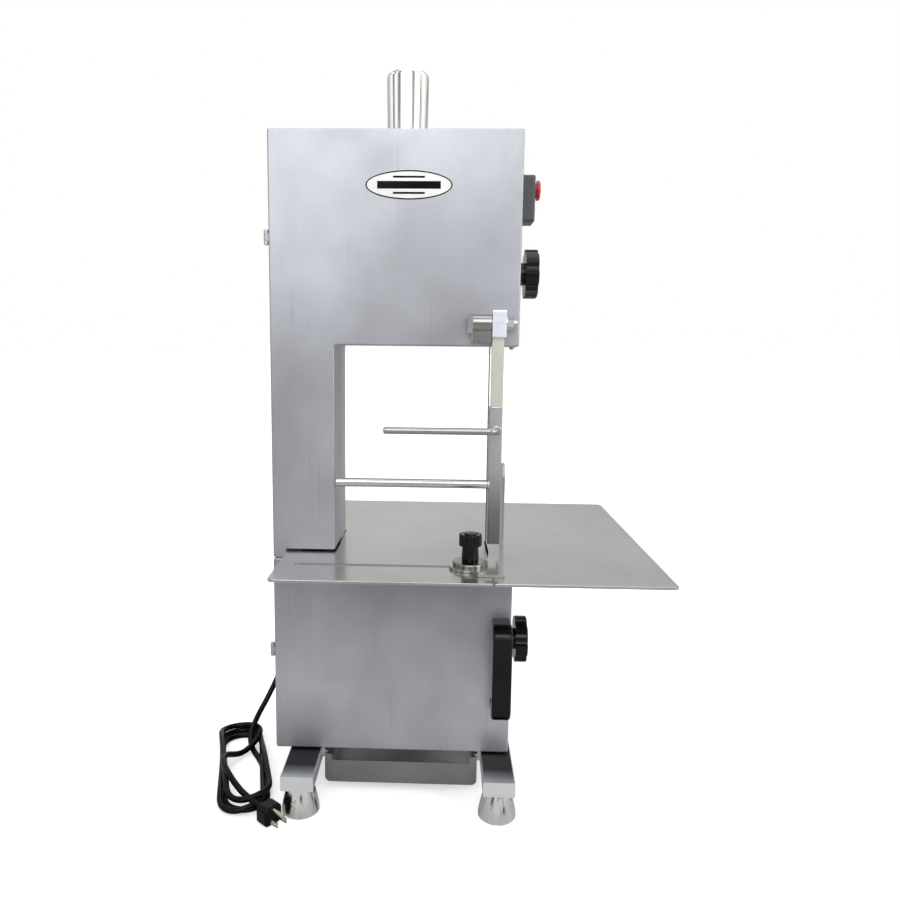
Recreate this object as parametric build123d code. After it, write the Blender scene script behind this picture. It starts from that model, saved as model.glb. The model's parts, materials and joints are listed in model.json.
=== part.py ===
from build123d import *
import math
import os

os.makedirs("parts", exist_ok=True)

# Table-top butcher's bone saw. Millimetres, +Z up, +X to the operator's right, +Y away from the
# operator. The origin is on the floor under the middle of the whole machine.

# ---------------------------------------------------------------- driving dimensions
BODY_L, BODY_R = -224.0, 66.0        # left and right sides of the C-shaped body
BODY_FRONT, SEAM, BODY_BACK = -93.0, -31.0, 11.0
BODY_BOTTOM, BODY_TOP = 57.0, 801.0
COLUMN_R = -148.5                    # right side of the column
THROAT_TOP = 559.0                   # underside of the upper box
LOWER_TOP = 303.0                    # top of the lower box
TABLE_TOP, TABLE_T = 312.0, 3.0
TABLE_L, TABLE_R, TABLE_HALF_Y = -207.0, 230.1, 207.0
SHEET = 1.5                          # door sheet
PLATE = 2.0                          # frame sheet
FOLD_R = 3.0                         # outside radius of the folded sheet
GAP = 0.5                            # gap between doors and frame

WHEEL_R = 103.7
WHEEL_X = -69.0
UPPER_Z, LOWER_Z = 672.0, 177.0      # wheel centres
BLADE_T, BLADE_GAP = 0.6, 0.3
BLADE_Y0, BLADE_Y1 = -51.0, -35.0    # toothed edge and back edge
BLADE_X = WHEEL_X + WHEEL_R + BLADE_GAP          # inner face of the cutting run
RIM_Y0, RIM_Y1 = -53.0, -33.0

HINGE_X, HINGE_Y, HINGE_R, PIN_R = -227.2, -88.5, 2.9, 1.4
LATCH_Y = -62.0
UPPER_LATCH_Z, LOWER_LATCH_Z = 644.0, 195.0

PIVOT_Y, PIVOT_Z = -107.0, 585.5     # swing axis of the pusher arm, along X
ARM_L, ARM_R, ARM_BOTTOM = 33.2, 47.4, 330.0
BAR_JOINT_Z = 490.0                  # where the flat bar enters the channel

GAUGE_X, SLOT_Y, SLOT_W = 12.0, -148.0, 9.0
SLOT_L, SLOT_R = -188.0, 26.0

FOOT_BAR_L, FOOT_BAR_R = (-206.0, -167.0), (32.0, 69.5)
BAR_Z, BAR_FRONT, BAR_REAR = 39.0, -158.0, 130.0
FOOT_Y = (-132.0, 105.0)
MOTOR_R, MOTOR_BACK = 62.0, 160.0


# ---------------------------------------------------------------- helpers
def block(x0, x1, y0, y1, z0, z1):
    centre = ((x0 + x1) / 2, (y0 + y1) / 2, (z0 + z1) / 2)
    return Pos(*centre) * Box(x1 - x0, y1 - y0, z1 - z0)


def rod_x(x0, x1, y, z, r):
    return Pos((x0 + x1) / 2, y, z) * Rot(0, 90, 0) * Cylinder(r, x1 - x0)


def rod_y(y0, y1, x, z, r):
    return Pos(x, (y0 + y1) / 2, z) * Rot(90, 0, 0) * Cylinder(r, y1 - y0)


def rod_z(z0, z1, x, y, r):
    return Pos(x, y, (z0 + z1) / 2) * Cylinder(r, z1 - z0)


def hex_x(x0, x1, y, z, across):
    """Hexagonal prism along X, given its size across flats."""
    face = RegularPolygon(across / 2, 6, major_radius=False)
    return Pos(x0, y, z) * Rot(0, 90, 0) * extrude(face, x1 - x0)


def hex_z(z0, z1, x, y, across):
    face = RegularPolygon(across / 2, 6, major_radius=False)
    return Pos(x, y, z0) * extrude(face, z1 - z0)


def outline(points, radius):
    """Closed face of an (x, z) outline with rounded corners."""
    face = make_face(Polyline(*points, close=True))
    return fillet(face.vertices(), radius) if radius else face


def prism_y(face, y0, y1):
    """Face drawn in (x, z), made solid from y0 to y1."""
    return Pos(0, y1, 0) * Rot(90, 0, 0) * extrude(face, y1 - y0)


def pan(points, y_skin, y_open, sheet):
    """Folded sheet tray with its skin at y_skin and its flanges running to y_open."""
    face = outline(points, FOLD_R)
    y0, y1 = min(y_skin, y_open), max(y_skin, y_open)
    outer = prism_y(face, y0, y1)
    skin = outer.faces().sort_by(Axis.Y)[0 if y_skin < y_open else -1]
    outer = fillet(skin.edges(), FOLD_R * 0.7)
    inner = offset(face, amount=-sheet)
    if y_skin < y_open:
        return outer - prism_y(inner, y0 + sheet, y1 + 1)
    return outer - prism_y(inner, y0 - 1, y1 - sheet)


def turned(points, x, y, z, axis="z"):
    """Solid of revolution from (radius, height) points about a line through x, y, z."""
    face = make_face(Polyline(*points, close=True))
    solid = revolve(Rot(90, 0, 0) * face, Axis.Z)
    turn = {"z": Rot(0, 0, 0), "x": Rot(0, 90, 0), "y": Rot(-90, 0, 0)}[axis]
    return Pos(x, y, z) * turn * solid


def lobed(radius, lobes, depth, thickness):
    """Disc with round finger scallops round its rim."""
    disc = Cylinder(radius, thickness)
    cutter = radius * math.sin(math.pi / lobes) * 0.55
    for i in range(lobes):
        angle = 2 * math.pi * i / lobes
        reach = radius + cutter - depth
        disc -= Pos(reach * math.cos(angle), reach * math.sin(angle), 0) * Cylinder(cutter, thickness)
    top = disc.faces().sort_by(Axis.Z)[-1]
    return chamfer(top.edges(), min(1.2, thickness / 4))


def save(name, *solids):
    shape = solids[0] if len(solids) == 1 else Compound(children=list(solids))
    shape.label = name
    export_step(shape, f"parts/{name}.step")


# ---------------------------------------------------------------- body frame
C_OUTLINE = [
    (BODY_L, BODY_BOTTOM), (BODY_R, BODY_BOTTOM), (BODY_R, LOWER_TOP), (COLUMN_R, LOWER_TOP),
    (COLUMN_R, THROAT_TOP), (BODY_R, THROAT_TOP), (BODY_R, BODY_TOP), (BODY_L, BODY_TOP),
]
BLADE_SLOT = 7.0        # half width of the blade's gap in the box flanges
SHAFT_HOLE_R = 22.0


def blade_gap(z):
    return block(BLADE_X - BLADE_SLOT, BLADE_X + BLADE_SLOT, -60, -25, z - 4, z + 4)


def return_gap(z):
    """Gap for the blade's return run, wide enough for the door to swing off it."""
    x = WHEEL_X - WHEEL_R
    return block(x - 24, x + 8, -60, -25, z - 4, z + 4)


def frame_shell():
    shell = pan(C_OUTLINE, BODY_BACK, SEAM, PLATE)
    shell -= blade_gap(THROAT_TOP) + blade_gap(LOWER_TOP)
    shell -= rod_y(0, 20, WHEEL_X, LOWER_Z, SHAFT_HOLE_R)
    shell -= rod_z(BODY_TOP - 5, BODY_TOP + 5, WHEEL_X, TENSION_Y, 7.2)
    shell -= block(-150, 0, -20, 0, BODY_BOTTOM - 5, BODY_BOTTOM + 5)      # waste chute
    return shell


def column_stiffener():
    """Square tube welded inside the column."""
    tube = block(-216, -186, -21, BODY_BACK - PLATE, 80, 780)
    return tube - block(-213, -189, -18, BODY_BACK - PLATE - 3, 79, 781)


# ---------------------------------------------------------------- tensioning
TENSION_Y = -3.0
TENSION_TRAVEL = 4.6                 # how far the carriage comes down
RAIL_IN, RAIL_OUT = 38.0, 50.0       # rail faces, from the wheel centre line
CARRIAGE_HALF_Z, CARRIAGE_BACK, CARRIAGE_FRONT = 38.0, 8.7, -12.7
AXLE_R, AXLE_FRONT = 8.5, -58.0
SCREW_R = 6.0
KNOB_R, KNOB_H = 25.8, 87.0


def guide_rails():
    inner, outer = RAIL_IN, RAIL_OUT
    y0, y1 = -13.0, BODY_BACK - PLATE
    rails = []
    for side in (-1, 1):
        x0, x1 = sorted((WHEEL_X + side * inner, WHEEL_X + side * outer))
        rails.append(block(x0, x1, y0, y1, 600, 745))
    return rails


def guide_keepers():
    """Strips that hold the carriage back between its rails, with their screws."""
    keepers = []
    for side in (-1, 1):
        x0, x1 = sorted((WHEEL_X + side * (RAIL_IN - 7), WHEEL_X + side * RAIL_OUT))
        strip = block(x0, x1, -17, -13, 605, 740)
        for z in (615, 730):
            strip += rod_y(-19, -17, WHEEL_X + side * 44, z, 5)
        keepers.append(strip)
    return keepers


def carriage():
    half = RAIL_IN - 0.3
    z0, z1 = UPPER_Z - CARRIAGE_HALF_Z, UPPER_Z + CARRIAGE_HALF_Z
    slab = block(WHEEL_X - half, WHEEL_X + half, CARRIAGE_FRONT, CARRIAGE_BACK, z0, z1)
    slab = fillet(slab.edges().filter_by(Axis.Y), 4)
    slab += rod_y(-22, CARRIAGE_FRONT, WHEEL_X, UPPER_Z, 16)
    slab -= rod_y(-30, 20, WHEEL_X, UPPER_Z, AXLE_R)
    return slab - rod_z(UPPER_Z + 15, UPPER_Z + 60, WHEEL_X, TENSION_Y, SCREW_R + 0.06)


def upper_axle():
    axle = rod_y(AXLE_FRONT, CARRIAGE_BACK, WHEEL_X, UPPER_Z, AXLE_R)
    return chamfer(axle.faces().sort_by(Axis.Y)[0].edges(), 1)


def axle_cap():
    washer = rod_y(AXLE_FRONT - 2.5, AXLE_FRONT, WHEEL_X, UPPER_Z, 14)
    return washer + rod_y(AXLE_FRONT - 7, AXLE_FRONT - 2.5, WHEEL_X, UPPER_Z, 6.5)


def tension_screw():
    return rod_z(UPPER_Z + 20, BODY_TOP + 22, WHEEL_X, TENSION_Y, SCREW_R)


def screw_bush():
    """Flanged bronze bush in the top of the body."""
    z = BODY_TOP
    bush = rod_z(z - 10, z, WHEEL_X, TENSION_Y, 7.0) + rod_z(z - 10, z - PLATE, WHEEL_X, TENSION_Y, 11)
    return bush - rod_z(z - 20, z + 5, WHEEL_X, TENSION_Y, SCREW_R + 0.06)


def screw_collar():
    ring = rod_z(BODY_TOP - 18, BODY_TOP - 10.3, WHEEL_X, TENSION_Y, 11)
    return ring - rod_z(BODY_TOP - 30, BODY_TOP, WHEEL_X, TENSION_Y, SCREW_R)


def tension_knob():
    z0 = 0.4
    profile = [
        (0, z0), (KNOB_R - 5, z0), (KNOB_R - 3.5, 1.6), (KNOB_R - 1.6, 2.4), (KNOB_R, KNOB_H - 7),
        (KNOB_R - 0.6, KNOB_H - 4.5), (KNOB_R - 2.2, KNOB_H - 2.4), (KNOB_R - 5, KNOB_H - 1),
        (KNOB_R - 9, KNOB_H), (0, KNOB_H),
    ]
    knob = turned(profile, WHEEL_X, TENSION_Y, BODY_TOP)
    return knob - rod_z(BODY_TOP - 1, BODY_TOP + 22, WHEEL_X, TENSION_Y, SCREW_R)


# ---------------------------------------------------------------- wheels and drive
HUB_R, HUB_Y0, HUB_Y1 = 27.0, -57.0, -29.0
SHAFT_R, SHAFT_FRONT = 9.5, -60.0


def wheel(z, bore_r):
    """Cast wheel: grooved rim, thin web with round lightening holes, long hub."""
    rim = rod_y(RIM_Y0, RIM_Y1, WHEEL_X, z, WHEEL_R) - rod_y(RIM_Y0, RIM_Y1, WHEEL_X, z, WHEEL_R - 9)
    web = rod_y(-46, -40, WHEEL_X, z, WHEEL_R - 8)
    for i in range(6):
        angle = math.radians(60 * i + 30)
        web -= rod_y(-50, -30, WHEEL_X + 60 * math.cos(angle), z + 60 * math.sin(angle), 17)
    hub = rod_y(HUB_Y0, HUB_Y1, WHEEL_X, z, HUB_R)
    body = rim + web + hub
    return body - rod_y(HUB_Y0 - 1, HUB_Y1 + 1, WHEEL_X, z, bore_r)


def upper_bearings():
    rings = []
    for y0 in (-56.0, -42.0):
        ring = rod_y(y0, y0 + 12, WHEEL_X, UPPER_Z, 20) - rod_y(y0, y0 + 12, WHEEL_X, UPPER_Z, AXLE_R + 0.05)
        rings.append(ring)
    return rings


def motor_shaft():
    return rod_y(SHAFT_FRONT, MOTOR_BACK + 8, WHEEL_X, LOWER_Z, SHAFT_R)


def shaft_cap():
    washer = rod_y(SHAFT_FRONT - 2.5, SHAFT_FRONT, WHEEL_X, LOWER_Z, 14)
    return washer + rod_y(SHAFT_FRONT - 7, SHAFT_FRONT - 2.5, WHEEL_X, LOWER_Z, 6.5)


def bearing_housing():
    """Flanged housing that carries the shaft through the back plate."""
    y = BODY_BACK - PLATE
    body = rod_y(-24, y, WHEEL_X, LOWER_Z, 30) + rod_y(y - 8, y, WHEEL_X, LOWER_Z, 46)
    for i in range(4):
        angle = math.radians(45 + 90 * i)
        body += rod_y(y - 13, y - 8, WHEEL_X + 38 * math.cos(angle), LOWER_Z + 38 * math.sin(angle), 5)
    return body - rod_y(-30, y + 1, WHEEL_X, LOWER_Z, SHAFT_R + 0.05)


def motor_body():
    """Ribbed motor casing with its front flange."""
    y0 = BODY_BACK
    casing = rod_y(y0 + 10, MOTOR_BACK, WHEEL_X, LOWER_Z, MOTOR_R)
    for i in range(30):
        rib = block(MOTOR_R - 3, MOTOR_R + 8, y0 + 22, MOTOR_BACK - 12, -1.3, 1.3)
        casing += Pos(WHEEL_X, 0, LOWER_Z) * Rot(0, 12 * i + 6, 0) * rib
    casing += rod_y(y0, y0 + 10, WHEEL_X, LOWER_Z, 72)
    return casing - rod_y(y0 - 1, MOTOR_BACK + 1, WHEEL_X, LOWER_Z, SHAFT_R + 0.05)


def motor_bolts():
    bolts = []
    for i in range(4):
        angle = math.radians(45 + 90 * i)
        x, z = WHEEL_X + 67.2 * math.cos(angle), LOWER_Z + 67.2 * math.sin(angle)
        bolts.append(rod_y(BODY_BACK + 10, BODY_BACK + 15, x, z, 4.5))
    return bolts


def fan_cover():
    y0, y1, r = MOTOR_BACK, MOTOR_BACK + 36, MOTOR_R + 7
    cover = rod_y(y0, y1, WHEEL_X, LOWER_Z, r)
    cover = fillet(cover.faces().sort_by(Axis.Y)[-1].edges(), 8)
    hollow = rod_y(y0 - 1, y1 - 2, WHEEL_X, LOWER_Z, r - 2)
    cover -= fillet(hollow.faces().sort_by(Axis.Y)[-1].edges(), 6)
    for ring in (20, 32, 44, 54):
        for i in range(4):
            slot = rod_y(y1 - 4, y1 + 1, 0, 0, ring + 3) - rod_y(y1 - 4, y1 + 1, 0, 0, ring)
            wedge = block(4, 70, y1 - 5, y1 + 2, 4, 70)
            cover -= Pos(WHEEL_X, 0, LOWER_Z) * Rot(0, 90 * i, 0) * (slot & wedge)
    return cover


def motor_fan():
    y0 = MOTOR_BACK + 2
    fan = rod_y(y0, y0 + 20, WHEEL_X, LOWER_Z, 14)
    for i in range(7):
        blade = block(12, 52, y0 + 2, y0 + 20, -1.2, 1.2)
        fan += Pos(WHEEL_X, 0, LOWER_Z) * Rot(0, 360 / 7 * i, 0) * blade
    return fan - rod_y(y0 - 5, y0 + 40, WHEEL_X, LOWER_Z, SHAFT_R)


TERMINAL_X0, TERMINAL_Y, TERMINAL_Z = -154.0, 85.0, 112.0


def terminal_box():
    """Wiring box below the motor's left side, hollowed to sit on its fins."""
    box = block(TERMINAL_X0, WHEEL_X - 20, 58, 112, 92, 148)
    box -= rod_y(50, 120, WHEEL_X, LOWER_Z, MOTOR_R + 8)
    return fillet(box.faces().sort_by(Axis.X)[0].edges(), 4)


# ---------------------------------------------------------------- blade and its guides
def saw_blade():
    """Endless band lying round the two wheels, toothed edge to the front."""
    def loop(r):
        ends = Pos(WHEEL_X, UPPER_Z) * Circle(r) + Pos(WHEEL_X, LOWER_Z) * Circle(r)
        return ends + Pos(WHEEL_X, (UPPER_Z + LOWER_Z) / 2) * Rectangle(2 * r, UPPER_Z - LOWER_Z)
    inner = WHEEL_R + BLADE_GAP
    return prism_y(loop(inner + BLADE_T) - loop(inner), BLADE_Y0, BLADE_Y1)


def blade_guide(z0, z1):
    """Plastic guide block with a narrow slot for the blade, carried off the back plate."""
    x = BLADE_X + BLADE_T / 2
    guide = block(x - 9, x + 9, -56, BODY_BACK - PLATE, z0, z1)
    return guide - block(x - 0.8, x + 0.8, -57, BLADE_Y1 + 0.4, z0 - 1, z1 + 1)


def wheel_scraper(z, angle, clearance):
    """Angled wiper that runs close to the rim, on a stalk from the back plate."""
    a = math.radians(angle)
    reach = WHEEL_R + clearance
    plate = Pos(WHEEL_X, 0, z) * Rot(0, -angle, 0) * block(reach, reach + 4, RIM_Y0, RIM_Y1 + 8, -9, 9)
    stalk_r = reach + 3
    stalk = rod_y(RIM_Y1 + 7, BODY_BACK - PLATE, WHEEL_X + stalk_r * math.cos(a), z + stalk_r * math.sin(a), 4)
    return plate + stalk


# ---------------------------------------------------------------- doors
UPPER_DOOR = [
    (BODY_L, TABLE_TOP + 1.5), (COLUMN_R, TABLE_TOP + 1.5), (COLUMN_R, THROAT_TOP),
    (BODY_R, THROAT_TOP), (BODY_R, BODY_TOP), (BODY_L, BODY_TOP),
]
LOWER_DOOR = [
    (BODY_L, BODY_BOTTOM + 1), (BODY_R, BODY_BOTTOM + 1),
    (BODY_R, LOWER_TOP - GAP), (BODY_L, LOWER_TOP - GAP),
]
LATCH_BORE_R = 4.1


def column_tongue():
    """Shallow corner of the upper door that reaches down past the table's left edge."""
    x1, y1, z0 = TABLE_L - 1.2, BODY_FRONT + 16, LOWER_TOP + 1
    corner = block(BODY_L, x1, BODY_FRONT, y1, z0, TABLE_TOP + 8)
    corner = fillet(corner.edges().filter_by(Axis.Z).sort_by(Axis.X)[:2].sort_by(Axis.Y)[0], FOLD_R * 0.7)
    corner -= block(BODY_L + SHEET, x1 + 1, BODY_FRONT + SHEET, y1 + 1, z0 - 1, TABLE_TOP + 9)
    return corner


def door(points, latch_z, slot_z, return_z):
    shell = pan(points, BODY_FRONT, SEAM - GAP, SHEET)
    shell -= blade_gap(slot_z)
    shell -= return_gap(return_z)
    return shell - rod_x(BODY_R - 5, BODY_R + 5, LATCH_Y, latch_z, LATCH_BORE_R)


def door_brace(x0, x1, z):
    """Hat section spot-welded across the inside of a door."""
    y = BODY_FRONT + SHEET
    return block(x0, x1, y, y + 6, z - 12, z + 12) - block(x0, x1, y, y + 4.5, z - 7, z + 7)


def hinge_strap(z, height):
    """Frame half of a hinge: long strap with two ears round the pin."""
    z0, z1 = z - height / 2, z + height / 2
    strap = block(-226.0, -224.4, HINGE_Y, 8, z0, z1) + block(-224.4, BODY_L, -28, 8, z0, z1)
    strap += rod_z(z0, z1, HINGE_X, HINGE_Y, HINGE_R)
    eye = height * 0.26
    strap -= block(-232, BODY_L, HINGE_Y - 6, HINGE_Y + 9, z - eye - 0.3, z + eye + 0.3)
    return strap - rod_z(z0 - 1, z1 + 1, HINGE_X, HINGE_Y, PIN_R)


def hinge_eye(z, height):
    """Door half of a hinge: eye with a lug welded to the door's side."""
    eye = height * 0.26
    lug = block(HINGE_X, BODY_L, HINGE_Y - 2, HINGE_Y + 2, z - eye, z + eye)
    lug += rod_z(z - eye, z + eye, HINGE_X, HINGE_Y, HINGE_R)
    return lug - rod_z(z - eye - 1, z + eye + 1, HINGE_X, HINGE_Y, PIN_R + 0.05)


def hinge_pin(z, height):
    return rod_z(z - height / 2 - 1, z + height / 2 + 1, HINGE_X, HINGE_Y, PIN_R)


CATCH_X0, CATCH_X1 = 58.0, 61.0


def latch_catch(z):
    """Open-ended plate that the latch stud drops into as the door closes."""
    plate = block(CATCH_X0, CATCH_X1, -73, 5, z - 13, z + 13)
    plate += block(CATCH_X1, BODY_R - PLATE, -28, 5, z - 13, z + 13)
    slot = block(CATCH_X0 - 1, CATCH_X1 + 1, -80, LATCH_Y, z - 5, z + 5)
    return plate - slot - rod_x(CATCH_X0 - 1, CATCH_X1 + 1, LATCH_Y, z, 5)


def latch_knob(z):
    body = Pos(80, LATCH_Y, z) * Rot(0, 90, 0) * lobed(28.5, 7, 3.2, 15)
    dome = Pos(87, LATCH_Y, z) * Rot(0, 90, 0) * turned([(0, 0), (15, 0), (13, 1.6), (8, 2.6), (0, 3)], 0, 0, 0)
    hub = rod_x(67, 73, LATCH_Y, z, 13)
    return body + dome + hub - rod_x(60, 80, LATCH_Y, z, 4)


def latch_stud(z):
    stud = rod_x(51, 80, LATCH_Y, z, 4)
    return stud + hex_x(51, 55.5, LATCH_Y, z, 13)


HANDLE_X, HANDLE_Z, HANDLE_H, HANDLE_REACH = 53.3, 173.0, 119.0, 37.0
HANDLE_HALF_W = 11.5


def door_handle():
    """Moulded bow handle with a wide rounded grip and two thick legs."""
    y0 = BODY_FRONT - HANDLE_REACH
    z0, z1 = HANDLE_Z - HANDLE_H / 2, HANDLE_Z + HANDLE_H / 2
    outer = block(HANDLE_X - HANDLE_HALF_W, HANDLE_X + HANDLE_HALF_W, y0, BODY_FRONT, z0, z1)
    outer = fillet(outer.edges().filter_by(Axis.X).group_by(Axis.Y)[0], 17)
    hole = block(HANDLE_X - 20, HANDLE_X + 20, y0 + 12, BODY_FRONT + 1, z0 + 17, z1 - 17)
    hole = fillet(hole.edges().filter_by(Axis.X).group_by(Axis.Y)[0], 10)
    bow = outer - hole
    front = bow.edges().filter_by(lambda e: e.center().Y < BODY_FRONT - 13 and abs(e.center().X - HANDLE_X) > 10)
    return fillet(front, 3.5)


def handle_screws():
    """Two screws from inside the lower door into the handle's legs."""
    screws = []
    for side in (-1, 1):
        z = HANDLE_Z + side * (HANDLE_H / 2 - 9)
        screws.append(rod_y(BODY_FRONT + SHEET, BODY_FRONT + SHEET + 4, HANDLE_X, z, 5.5))
    return screws


def oval_label():
    face = Pos(-63, 739.5) * Ellipse(49.8, 16.6)
    return prism_y(face, BODY_FRONT - 0.4, BODY_FRONT)


def rim_rivet():
    """Round-headed screw under the front edge of the upper box."""
    head = Pos(58, -86, THROAT_TOP) * Sphere(3.2)
    return head & block(50, 66, -92, -80, THROAT_TOP - 4, THROAT_TOP)


# ---------------------------------------------------------------- pusher arm
BOSS_X0, BOSS_X1 = 11.6, 32.6
BOLT_R = 6.0


def pivot_boss():
    """Block welded to the upper door: round above, flat web below, bored for the pivot bolt."""
    boss = rod_x(BOSS_X0, BOSS_X1, PIVOT_Y, PIVOT_Z, 10.5)
    boss += block(BOSS_X0, BOSS_X1, PIVOT_Y, BODY_FRONT, PIVOT_Z - 10.5, PIVOT_Z + 10.5)
    boss += block(BOSS_X0, BOSS_X1, PIVOT_Y - 6, BODY_FRONT, 564, PIVOT_Z)
    return boss - rod_x(BOSS_X0 - 1, BOSS_X1 + 1, PIVOT_Y, PIVOT_Z, BOLT_R)


def pivot_bolt():
    bolt = hex_x(BOSS_X0 - 6.2, BOSS_X0, PIVOT_Y, PIVOT_Z, 19)
    bolt += rod_x(BOSS_X0, 49.4, PIVOT_Y, PIVOT_Z, BOLT_R)
    return bolt + rod_x(49.4, 61.5, PIVOT_Y, PIVOT_Z, 4)


def pivot_nut():
    nut = hex_x(50.6, 57.4, PIVOT_Y, PIVOT_Z, 13) + rod_x(49.4, 50.6, PIVOT_Y, PIVOT_Z, 8.5)
    return nut - rod_x(49, 58, PIVOT_Y, PIVOT_Z, 4)


def arm_knuckle():
    """Square block that swings on the pivot bolt, with its back rounded to clear the door."""
    x0, x1 = ARM_L, 49.0
    block_front = block(x0, x1, PIVOT_Y - 13, PIVOT_Y, PIVOT_Z - 16, PIVOT_Z + 14.5)
    block_front = chamfer(block_front.edges().filter_by(Axis.X).group_by(Axis.Y)[0], 1.2)
    knuckle = block_front + rod_x(x0, x1, PIVOT_Y, PIVOT_Z, 12.5)
    return knuckle - rod_x(x0 - 1, x1 + 1, PIVOT_Y, PIVOT_Z, BOLT_R + 0.05)


def arm_bar():
    bar = block(ARM_L + 0.6, ARM_R - 0.2, PIVOT_Y - 6, PIVOT_Y + 6, BAR_JOINT_Z, PIVOT_Z)
    return bar - rod_x(ARM_L - 5, ARM_R + 5, PIVOT_Y, PIVOT_Z, 12.5) - block(
        ARM_L - 1, ARM_R + 1, PIVOT_Y - 20, PIVOT_Y, PIVOT_Z - 16, PIVOT_Z + 20)


CHANNEL_T = 1.5


def arm_channel():
    """U-channel, open to the back so that it can close over the blade."""
    y0, y1 = PIVOT_Y - 6, PIVOT_Y + 20
    outer = block(ARM_L, ARM_R, y0, y1, ARM_BOTTOM, BAR_JOINT_Z)
    outer = fillet(outer.edges().filter_by(Axis.Z).group_by(Axis.Y)[0], 1.2)
    inner = block(ARM_L + CHANNEL_T, ARM_R - CHANNEL_T, y0 + CHANNEL_T, y1 + 1, ARM_BOTTOM - 1, BAR_JOINT_Z - 2)
    return outer - inner


HANDLE_ROD_Y, HANDLE_ROD_Z, HANDLE_ROD_R = PIVOT_Y - 20.0, 464.0, 3.9
PUSHER_ROD_Z, PUSHER_ROD_R, PUSHER_ROD_L = 400.0, 5.2, -146.0


def handle_rod():
    """Bent round rod: the hand grip, welded to the front of the channel."""
    x_weld, r = 41.5, HANDLE_ROD_R
    corner = 10.0
    path = FilletPolyline((-88.5, HANDLE_ROD_Y, HANDLE_ROD_Z), (x_weld, HANDLE_ROD_Y, HANDLE_ROD_Z),
                          (x_weld, PIVOT_Y - 6, HANDLE_ROD_Z), radius=corner)
    start = Plane(origin=(-88.5, HANDLE_ROD_Y, HANDLE_ROD_Z), z_dir=(1, 0, 0))
    rod = sweep(start * Circle(r), path=path)
    return fillet(rod.faces().sort_by(Axis.X)[0].edges(), 2.5)


def pusher_rod():
    rod = rod_x(PUSHER_ROD_L, ARM_L, PIVOT_Y, PUSHER_ROD_Z, PUSHER_ROD_R)
    return fillet(rod.faces().sort_by(Axis.X)[0].edges(), 2)


# ---------------------------------------------------------------- table and gauge
def table_plate():
    z0 = TABLE_TOP - TABLE_T
    width = TABLE_R - TABLE_L
    plate = Pos((TABLE_L + TABLE_R) / 2, 0, z0) * extrude(RectangleRounded(width, 2 * TABLE_HALF_Y, 7), TABLE_T)
    plate = fillet(plate.faces().sort_by(Axis.Z)[-1].edges(), 0.8)
    plate -= block(TABLE_L - 5, COLUMN_R + 1.5, BODY_FRONT - 1.5, BODY_BACK + 1.5, z0 - 1, TABLE_TOP + 1)
    slit = BLADE_X + BLADE_T / 2
    plate -= block(slit - 1.5, slit + 1.5, -TABLE_HALF_Y - 5, BLADE_Y1 + 3, z0 - 1, TABLE_TOP + 1)
    length = SLOT_R - SLOT_L
    slot = SlotOverall(length, SLOT_W)
    return plate - Pos((SLOT_L + SLOT_R) / 2, SLOT_Y, z0 - 1) * extrude(slot, TABLE_T + 2)


def table_rails():
    """Flat bars under the plate that stand it off the lower box."""
    rails = []
    for x in (-118, 44):
        rail = block(x, x + 22, -85, 190, 304.5, TABLE_TOP - TABLE_T)
        rail += block(x, x + 22, -26, 6, LOWER_TOP, 304.5)
        rails.append(rail)
    return rails


def table_bolts():
    """Bolt heads inside the top of the lower box that clamp the table rails."""
    heads = []
    for x in (-107, 55):
        for y in (-18, -2):
            heads.append(hex_z(LOWER_TOP - PLATE - 4.5, LOWER_TOP - PLATE, x, y, 9))
    return heads


GAUGE_Z = TABLE_TOP + 0.3
STOP_X = 51.5                        # left face of the upright stop plate


def gauge_fence():
    """Sliding foot with a round end, and the upright stop plate folded up beside the blade."""
    foot_points = [
        (GAUGE_X, SLOT_Y - 24), (19, -186), (48, -186), (STOP_X + 3, -57), (40, -57), (33, SLOT_Y + 22),
        (GAUGE_X, SLOT_Y + 24),
    ]
    face = make_face(Polyline(*foot_points, close=True)) + Pos(GAUGE_X, SLOT_Y) * Circle(24)
    foot = Pos(0, 0, GAUGE_Z) * extrude(face, 3)
    stop_points = [(-84, GAUGE_Z), (-57, GAUGE_Z), (-57, 411), (-63, 419), (-75, 419), (-84, 405)]
    stop_face = fillet(make_face(Polyline(*stop_points, close=True)).vertices().group_by(Axis.Y)[-1], 3)
    foot += Pos(STOP_X, 0, 0) * extrude(Plane.YZ * stop_face, 3)
    return foot - rod_z(GAUGE_Z - 1, GAUGE_Z + 5, GAUGE_X, SLOT_Y, 4.2)


def gauge_disc():
    disc = rod_z(GAUGE_Z + 3, GAUGE_Z + 7.5, GAUGE_X, SLOT_Y, 20)
    disc = fillet(disc.faces().sort_by(Axis.Z)[-1].edges(), 2)
    return disc - rod_z(GAUGE_Z, GAUGE_Z + 10, GAUGE_X, SLOT_Y, 4.2)


def gauge_knob():
    z0, z1 = GAUGE_Z + 7.8, 351.0
    knob = Pos(GAUGE_X, SLOT_Y, z1 - 6.5) * lobed(13, 6, 1.8, 13)
    stem = turned([(0, z0), (9.4, z0), (9.8, z0 + 4), (8.8, z1 - 12), (0, z1 - 12)], GAUGE_X, SLOT_Y, 0)
    cap = turned([(0, z1), (8.5, z1), (7, z1 + 1.4), (0, z1 + 2)], GAUGE_X, SLOT_Y, 0)
    return knob + stem + cap - rod_z(z0 - 1, z0 + 16, GAUGE_X, SLOT_Y, 4.1)


def gauge_stud():
    """Stud through the table slot with its square nut below."""
    stud = rod_z(304.6, GAUGE_Z + 21, GAUGE_X, SLOT_Y, 4)
    return stud + block(GAUGE_X - 8, GAUGE_X + 8, SLOT_Y - 8, SLOT_Y + 8, 304.6, 308.6)


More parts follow.
